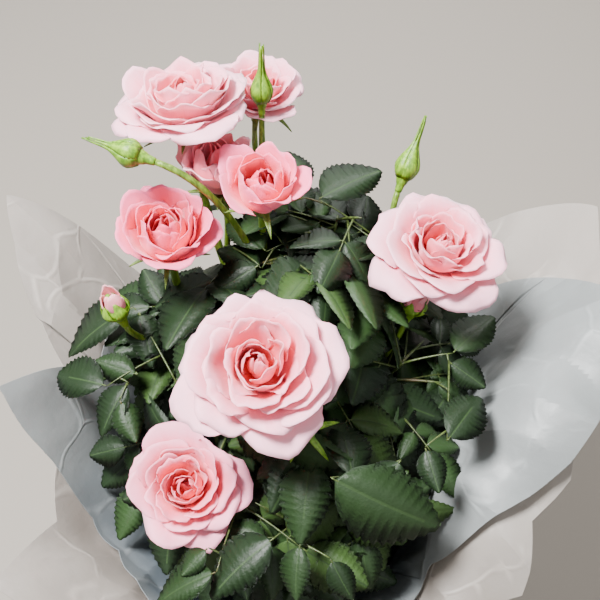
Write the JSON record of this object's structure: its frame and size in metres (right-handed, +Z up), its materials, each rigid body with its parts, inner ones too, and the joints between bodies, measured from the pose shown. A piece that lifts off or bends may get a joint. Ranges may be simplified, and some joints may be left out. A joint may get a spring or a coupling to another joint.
{
  "type": "rose bush",
  "caption": "Potted rose bush with double blooms, buds and leaves of five leaflets, in a plain round pot inside a flared collar of wrapping paper tied with a ribbon.",
  "frame": {"origin": "middle of the pot's flat underside", "axes": "+Z up along the pot's axis; the front of the bush, the side seen in the picture, faces -Y; +X is to the right of that view"},
  "size_m": [0.2999, 0.2465, 0.3453],
  "materials": {
    "pot": "matt",
    "soil": "rough, moist",
    "bark": "rough",
    "green_stem": "satin",
    "foliage": "semi-gloss",
    "petals": "velvety",
    "bud_green": "satin",
    "bud_pink": "satin",
    "paper_inner": "smooth, satin",
    "paper_outer": "smooth, satin",
    "ribbon": "satin"
  },
  "bodies": {
    "root": {"pot": "pot", "soil": "soil", "crown": "bark", "paper_inner": "paper_inner", "paper_outer": "paper_outer", "ribbon": "ribbon", "cane_centre": "green_stem", "cane_right": "green_stem", "cane_back_left": "green_stem", "cane_back": "green_stem", "cane_left": "green_stem", "cane_lower_left": "green_stem", "stalk_small": "green_stem", "stalk_upper_back": "green_stem", "stalk_top_bud": "green_stem", "stalk_left_bud": "green_stem", "stalk_right_bud": "green_stem", "stalk_pink_right": "green_stem", "stalk_pink_left": "green_stem", "stalk_front_bud": "green_stem", "bloom_centre": "petals", "bloom_right": "petals", "bloom_upper_left": "petals", "bloom_upper_back": "petals", "bloom_lower_left": "petals", "bloom_left": "petals", "bloom_cup": "petals", "bloom_small": "petals", "bud_left": "bud_green", "bud_right": "bud_green", "bud_top": "bud_green", "bud_pink_left": "bud_pink", "bud_pink_right": "bud_pink", "bud_front": "bud_green", "bough_middle": "green_stem", "bough_back": "green_stem", "bough_back_left": "green_stem", "bough_left": "green_stem", "bough_front_left": "green_stem", "bough_front": "green_stem", "bough_front_right": "green_stem", "bough_right": "green_stem", "bough_back_right": "green_stem", "foliage_middle": "foliage", "foliage_back": "foliage", "foliage_back_left": "foliage", "foliage_left": "foliage", "foliage_front_left": "foliage", "foliage_front": "foliage", "foliage_front_right": "foliage", "foliage_right": "foliage", "foliage_back_right": "foliage"}
  },
  "joints": []
}
